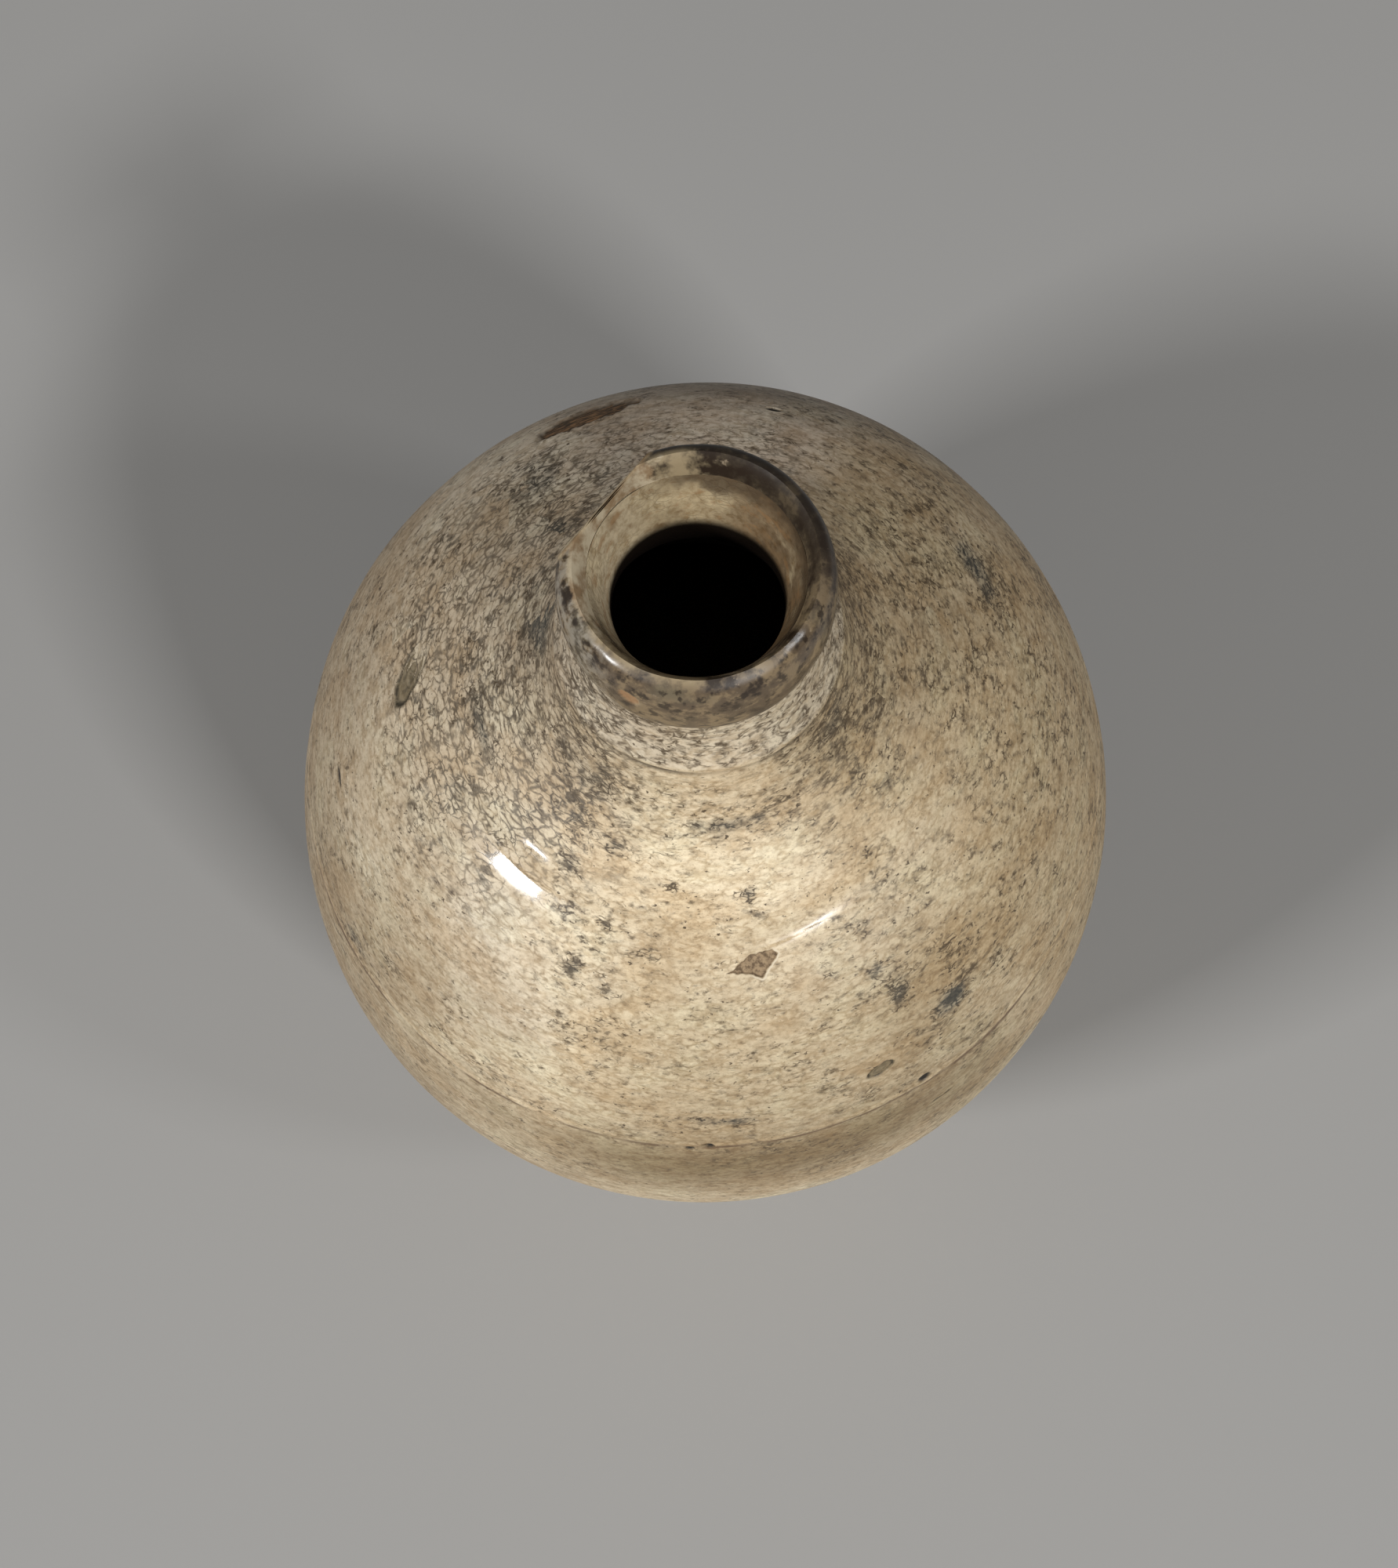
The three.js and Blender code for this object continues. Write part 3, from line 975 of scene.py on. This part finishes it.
def lay_crackle(tree, base, zones):
    """The ground with its crackle and stain on it, and how strong the cracks are."""
    times, fade, mix, weighed = tree.times, tree.fade, tree.mix, tree.weighed
    stain = tree.field("stain")
    star = tree.field("star")
    spread = tree.less(tree.noise(10, 4.0, 0.62), 0.5)
    behind = tree.less(1.0, zones.front)
    web_zone = times(behind, 0.55, tree.less(1.0, zones.right))
    web_zone = weighed(web_zone, (zones.left, 0.8), (zones.right, 0.3))
    web_zone = weighed(times(web_zone, fade(tree.z, *WEB_LEVELS)), (stain, 0.5))
    web_zone = tree.calc("ADD", tree.plus(web_zone, 0.22), times(spread, 1.1), True)
    crowd = weighed(0.17, (zones.left, 0.08), (zones.right, 0.2), (behind, 0.16), (zones.neck, 0.14))
    crowd = weighed(crowd, (zones.wash, -0.14), (stain, 0.65), (star, 0.95), (spread, 1.8))
    pebble, web, lines, collar = crackle_lines(tree, zones, web_zone, crowd)
    pool = weighed(times(stain, 0.85), (star, 0.45), (spread, 0.9))
    pool = fade(pool, 0.25, 0.85)
    base = mix(times(collar, 0.5), base, CREAM_COLLAR)
    base = mix(times(pebble, 0.75), base, PEBBLE_TONE, "MULTIPLY")
    base = tree.laid(
        base,
        (times(pool, 0.5), STAIN_GREY),
        (times(web, 0.85), mix(fade(spread, -0.15, 0.15), WEB_BROWN, WEB_DARK)),
        (times(lines, 0.95), mix(pool, LINE_BROWN, LINE_GREY)),
    )
    return base, tree.most(lines, web)


def lay_flaws(tree, base):
    """The glaze with painted shade in the groove under its ridge, its seam line with a painted highlight
    just above, its scars and the chip's pale edge.
    """
    times, less, fade, mix, field = tree.times, tree.less, tree.fade, tree.mix, tree.field
    # Painted shade in the groove under the ridge.
    base = mix(tree.calc("MULTIPLY", field("groove"), 1.2, True), base, GROOVE_PAINTED_SHADE)
    stray = less(tree.noise(24, 3.0), 0.5)
    above_seam = tree.weighed(less(tree.z, SEAM_LINE), (stray, 2.4))
    # Painted highlight: a pale line about 1.3 mm above the seam line, on its raised edge.
    pale = fade(tree.calc("ABSOLUTE", less(above_seam, 1.3)), 1.0, 0.2)
    seam = fade(tree.calc("ABSOLUTE", above_seam), 0.65, 0.15)
    seam = times(seam, fade(tree.noise(9, 3.0), 0.36, 0.58))
    base = mix(times(pale, 0.8), base, SEAM_PAINTED_HIGHLIGHT, "MULTIPLY")
    streaks = tree.noise(2.0, 3.0, 0.6, tree.squeezed(4.0))
    kiln_colour = mix(fade(streaks, 0.4, 0.65), KILN_DARK, KILN_RUST)
    broken = fade(tree.noise(1.6, 3.0, 0.6), 0.36, 0.56)
    return tree.laid(
        base,
        (times(seam, 0.8), SEAM_BROWN),
        (field("kiln"), mix(field("kiln_edge"), kiln_colour, KILN_EDGE)),
        (field("scar"), SCAR_BLACK),
        (times(field("hollow"), 0.75), HOLLOW_OLIVE),
        (times(field("ringed"), tree.weighed(0.35, (broken, 0.6))), RING_DARK),
        (field("fresh"), CHIP_EDGE),
    )


def make_cream_glaze():
    """Cream glaze with a stained crackle, scars, a seam line and a chip down to the clay."""
    tree = Tree("cream_crackle_glaze")
    times, mix = tree.times, tree.mix
    zones = glaze_zones(tree)
    base, cracks = lay_crackle(tree, glaze_ground(tree, zones), zones)
    base = lay_flaws(tree, base)
    bare = tree.field("bare")
    sand = tree.noise(0.9, 3.0, 0.7)
    base = mix(bare, base, mix(tree.fade(sand, 0.35, 0.65), CHIP_DARK, CHIP_TAN))
    dull = tree.less(1.0, tree.field("glossy"))
    matt = tree.most(bare, times(tree.field("kiln"), 0.8))
    rough = tree.weighed(0.08, (dull, 0.46), (matt, 0.35))
    relief = times(tree.weighed(tree.noise(2.0, 2.0), (cracks, -0.8)), dull)
    relief = tree.plus(relief, times(bare, sand, 5.0))
    tree.set(Base_Color=base, Roughness=rough, Specular_IOR_Level=0.42, Normal=tree.bump(relief, 0.02))
    return tree.material


# Colours of the glaze in the mouth.
MOUTH_CREAM = (0.47, 0.37, 0.225)
MOUTH_LEFT = (0.53, 0.435, 0.29)
MOUTH_RIGHT = (0.22, 0.155, 0.09)
MOUTH_PALE = (0.66, 0.54, 0.34)
MOUTH_BROWN = (0.24, 0.155, 0.08)
MOUTH_RUNS = (0.33, 0.19, 0.085)
MOUTH_LINES = (0.16, 0.11, 0.065)
MOUTH_EDGE = (0.085, 0.058, 0.035)
MOUTH_LIGHT_TONE = (1.2, 1.2, 1.18)
MOUTH_DARK_TONE = (0.7, 0.64, 0.56)
# Near black painted down the throat as shade inside the bottle.
THROAT_PAINTED_SHADE = (0.01, 0.007, 0.005)


def make_mouth_glaze():
    """Cream glaze of the funnel, browner at the right and the lip, and painted shade near black down the
    throat.
    """
    tree = Tree("mouth_crackle_glaze")
    times, less, fade, mix = tree.times, tree.less, tree.fade, tree.mix
    patch = tree.noise(7.0, 3.0, 0.6)
    grain = tree.noise(1.5, 3.0, 0.65)
    base = tree.laid(
        mix(fade(tree.x, -4, -13), MOUTH_CREAM, MOUTH_LEFT),
        (fade(tree.weighed(tree.x, (patch, 6)), 2, 14), MOUTH_RIGHT),
        (fade(patch, 0.5, 0.7, 0.6), MOUTH_PALE),
        (fade(patch, 0.47, 0.32, 0.8), MOUTH_BROWN),
    )
    base = mix(fade(grain, 0.45, 0.75), base, MOUTH_LIGHT_TONE, "MULTIPLY")
    base = mix(fade(grain, 0.55, 0.28), base, MOUTH_DARK_TONE, "MULTIPLY")
    runs = tree.noise(3.0, 3.0, 0.6, tree.vector("MULTIPLY", tree.place, (1.0, 0.6, 1.6)))
    cells = tree.warped(tree.squeezed(1.4), 2.5, 0.8)
    lines = times(fade(tree.crack_distance(cells, 1.8), 0.2, 0.03), fade(patch, 0.4, 0.65))
    back_left = fade(less(times(tree.y, 0.5), tree.x), 8, 17)
    edge = tree.weighed(tree.z, (less(patch, 0.5), 9))
    edge = times(fade(edge, CREST - 6.0, CREST - 3.2), less(1.0, back_left))
    base = tree.laid(
        base,
        (fade(runs, 0.54, 0.68, 0.55), MOUTH_RUNS),
        (times(lines, 0.22), MOUTH_LINES),
        (times(edge, 0.85), MOUTH_EDGE),
        # Painted shade: near black below the lip's seat, down the throat.
        (fade(tree.z, SEAT + 2.4, SEAT - 0.2), THROAT_PAINTED_SHADE),
    )
    tree.set(Base_Color=base, Roughness=0.25, Normal=tree.bump(less(grain, lines), 0.04))
    return tree.material


# Colours of the lip's glaze, and of the clay where it is worn or broken.
IRON_FRONT = (0.125, 0.088, 0.054)
IRON_BACK = (0.028, 0.019, 0.013)
IRON_TAN = (0.27, 0.195, 0.11)
IRON_OLIVE = (0.135, 0.115, 0.075)
IRON_PALE = (0.46, 0.41, 0.33)
IRON_SPOTS = (0.025, 0.016, 0.01)
IRON_CLOUDS = (0.03, 0.019, 0.012)
IRON_FLECKS = (0.42, 0.33, 0.23)
IRON_INNER = (0.4, 0.31, 0.185)
WORN_BROWN = (0.3, 0.2, 0.11)
WORN_TAN = (0.58, 0.49, 0.34)
PIT_BLACK = (0.02, 0.013, 0.01)
# The flake's clay: the tan is made lighter, painted light on the flake's shaded face.
FLAKE_BROWN = (0.34, 0.22, 0.115)
FLAKE_TAN_PAINTED_LIGHT = (0.68, 0.56, 0.36)
NICK_ORANGE = (0.36, 0.19, 0.085)


def make_brown_glaze():
    """Glossy iron-brown glaze, mottled, worn pale at the left, with clay in its flakes, lightened as
    painted light on their shaded face.
    """
    tree = Tree("iron_brown_glaze")
    times, plus, fade, mix, weighed = tree.times, tree.plus, tree.fade, tree.mix, tree.weighed
    broad = tree.noise(11, 3.0, 0.6)
    mottle = tree.noise(4.5, 4.0, 0.65)
    small = tree.noise(2.0, 3.0, 0.6)
    inward = tree.field("inward")
    rubbed = tree.field("worn")
    bare = tree.field("bare")
    back = fade(weighed(tree.y, (tree.x, 0.35)), -6, 13)
    left = times(fade(tree.x, -12, -18), fade(small, 0.42, 0.6))
    dark_side = fade(weighed(tree.x, (tree.y, 0.15)), 2, 10)
    inner = times(inward, fade(mottle, 0.34, 0.6), weighed(1.0, (dark_side, -0.88)))
    worn = fade(plus(times(rubbed, 0.5), small), 0.62, 0.86)
    worn = times(worn, fade(rubbed, 0.02, 0.25))
    # Painted light: the flake's clay is lighter than the clay itself, to lift its shaded face.
    sand = mix(fade(mottle, 0.35, 0.65), FLAKE_BROWN, FLAKE_TAN_PAINTED_LIGHT)
    base = tree.laid(
        mix(back, IRON_FRONT, IRON_BACK),
        (times(fade(mottle, 0.47, 0.6), weighed(0.95, (back, -0.78))), IRON_TAN),
        (times(fade(broad, 0.5, 0.68), weighed(0.75, (back, -0.6))), IRON_OLIVE),
        (times(left, weighed(0.62, (inward, 0.3))), IRON_PALE),
        (fade(small, 0.49, 0.35, 0.85), IRON_SPOTS),
        (fade(mottle, 0.46, 0.34, 0.9), IRON_CLOUDS),
        (fade(small, 0.66, 0.76, 0.65), IRON_FLECKS),
        (times(inner, 0.85), IRON_INNER),
        (times(worn, 0.95), mix(fade(mottle, 0.36, 0.6), WORN_BROWN, WORN_TAN)),
        (tree.field("scar"), PIT_BLACK),
        (bare, mix(times(tree.field("orange"), 0.8), sand, NICK_ORANGE)),
    )
    rough = weighed(0.42, (tree.field("polished"), -0.2), (bare, 0.4))
    relief = plus(mottle, times(bare, small, 3.0))
    tree.set(Base_Color=base, Roughness=rough, Specular_IOR_Level=0.42, Normal=tree.bump(relief, 0.05))
    return tree.material


# Colours of the bare clay and of the slip.
CLAY_BROWN = (0.3, 0.195, 0.11)
CLAY_BUFF = (0.48, 0.345, 0.21)
CLAY_SAND = (0.58, 0.45, 0.3)
CLAY_SPECKS = (0.07, 0.045, 0.03)
# Near black painted on the clay above the foot, as shade inside the bottle.
CLAY_INSIDE_PAINTED_SHADE = (0.02, 0.014, 0.01)
SLIP_BROWN = (0.42, 0.31, 0.19)
SLIP_PALE = (0.58, 0.46, 0.31)


def make_bare_clay():
    """Bare fired stoneware: sandy buff brown with iron specks, painted near black above the foot as shade
    inside the bottle.
    """
    tree = Tree("bare_stoneware")
    broad = tree.noise(12, 3.0, 0.6)
    sand = tree.noise(0.6, 4.0, 0.7)
    speck = tree.noise(1.3, 2.0, 0.5)
    base = tree.laid(
        tree.mix(broad, CLAY_BROWN, CLAY_BUFF),
        (tree.fade(sand, 0.45, 0.75), CLAY_SAND),
        (tree.fade(speck, 0.66, 0.74), CLAY_SPECKS),
        # Painted shade: the clay turns near black from 25 to 60 mm up, inside the bottle.
        (tree.fade(tree.z, 25, 60), CLAY_INSIDE_PAINTED_SHADE),
    )
    relief = tree.plus(sand, tree.noise(3.0, 2.0, place=tree.squeezed(5.0)))
    tree.set(Base_Color=base, Roughness=0.85, Normal=tree.bump(relief, 0.12))
    return tree.material


def make_slip():
    """Fired luting slip: paler and finer than the clay."""
    tree = Tree("luting_slip")
    sand = tree.noise(0.8, 3.0, 0.6)
    base = tree.mix(sand, SLIP_BROWN, SLIP_PALE)
    tree.set(Base_Color=base, Roughness=0.9, Normal=tree.bump(sand, 0.08))
    return tree.material


def dress():
    """Makes every piece of the pot and gives it its finish."""
    clay = make_bare_clay()
    slip = make_slip()
    finish_piece(make_outer_coat(), "cream_glaze", make_cream_glaze(), "outer_glaze")
    finish_piece(make_lip_coat(), "brown_glaze", make_brown_glaze(), "lip_glaze")
    finish_piece(make_mouth_coat(), "cream_glaze", make_mouth_glaze(), "mouth_glaze")
    for node in ("foot_ring", "lower_body", "upper_body", "neck"):
        finish_piece(turn_clay(node).make("turned_" + node), "clay", clay, node)
    finish_piece(make_lip_clay(), "clay", clay, "lip")
    for node in ("foot_luting_slip", "belly_luting_slip", "neck_luting_slip"):
        finish_piece(turn_clay(node).make("turned_" + node), "slip", slip, node)


# Stage

FLOOR_HALF = 3000.0
FLOOR_GREY = (0.425, 0.418, 0.405)
LAMP_DISTANCE = 2500.0
WHITE = (1.0, 1.0, 1.0)
EVEN_LIGHT = 0.085


def make_floor():
    """A plain pale floor under the pot."""
    mesh = bpy.data.meshes.new("floor")
    half = FLOOR_HALF * MM
    corners = [(-half, -half, 0), (half, -half, 0), (half, half, 0), (-half, half, 0)]
    mesh.from_pydata(corners, [], [(0, 1, 2, 3)])
    floor = bpy.data.objects.new("floor", mesh)
    bpy.context.scene.collection.objects.link(floor)
    tree = Tree("pale_floor")
    tree.set(Base_Color=FLOOR_GREY, Roughness=0.9)
    mesh.materials.append(tree.material)


def make_lamp(name, direction, width, depth, power):
    """A soft lamp that faces the pot: its direction, width, depth and power in watts."""
    light = bpy.data.lights.new(name, "AREA")
    light.shape = "RECTANGLE"
    light.size = width * MM
    light.size_y = depth * MM
    light.energy = power
    lamp = bpy.data.objects.new(name, light)
    away = Vector(direction).normalized()
    lamp.location = TARGET + away * LAMP_DISTANCE * MM
    lamp.rotation_euler = away.to_track_quat("Z", "Y").to_euler()
    bpy.context.scene.collection.objects.link(lamp)


def make_light():
    """Soft lamps at the left, the right and the side, and a faint even light all round."""
    make_lamp("left_lamp", (-0.711, -0.386, 0.588), 525, 220, 31.5)
    make_lamp("right_lamp", (0.415, -0.64, 0.647), 500, 190, 28.5)
    make_lamp("side_lamp", (0.707, -0.286, 0.647), 300, 300, 7.0)
    world = bpy.data.worlds.new("even_light")
    world.use_nodes = True
    background = world.node_tree.nodes["Background"]
    background.inputs["Color"].default_value = (*WHITE, 1.0)
    background.inputs["Strength"].default_value = EVEN_LIGHT
    bpy.context.scene.world = world


def make_camera():
    """The camera, turned so that the pot stands a little below and right of the middle."""
    lens = bpy.data.cameras.new("camera")
    lens.lens = LENS
    lens.sensor_width = FRAME_SIDE
    camera = bpy.data.objects.new("camera", lens)
    elevation = math.radians(CAMERA_ELEVATION)
    roll = math.radians(CAMERA_ROLL)
    back = Vector((0, -math.cos(elevation), math.sin(elevation)))
    level_right = Vector((1, 0, 0))
    level_up = Vector((0, math.sin(elevation), math.cos(elevation)))
    right = level_right * math.cos(roll) - level_up * math.sin(roll)
    up = level_right * math.sin(roll) + level_up * math.cos(roll)
    place = TARGET + back * CAMERA_DISTANCE * MM
    pixels_away = LENS / FRAME_SIDE * IMAGE_HEIGHT
    aim = back + right * (TARGET_RIGHT_PIXELS / pixels_away) - up * (TARGET_DOWN_PIXELS / pixels_away)
    back = aim.normalized()
    right = (right - back * right.dot(back)).normalized()
    up = back.cross(right)
    turned = Matrix((right, up, back)).transposed().to_4x4()
    camera.matrix_world = Matrix.Translation(place) @ turned
    bpy.context.scene.collection.objects.link(camera)
    bpy.context.scene.camera = camera


make_camera()
dress()
make_floor()
make_light()
bpy.context.scene.view_settings.view_transform = "Standard"
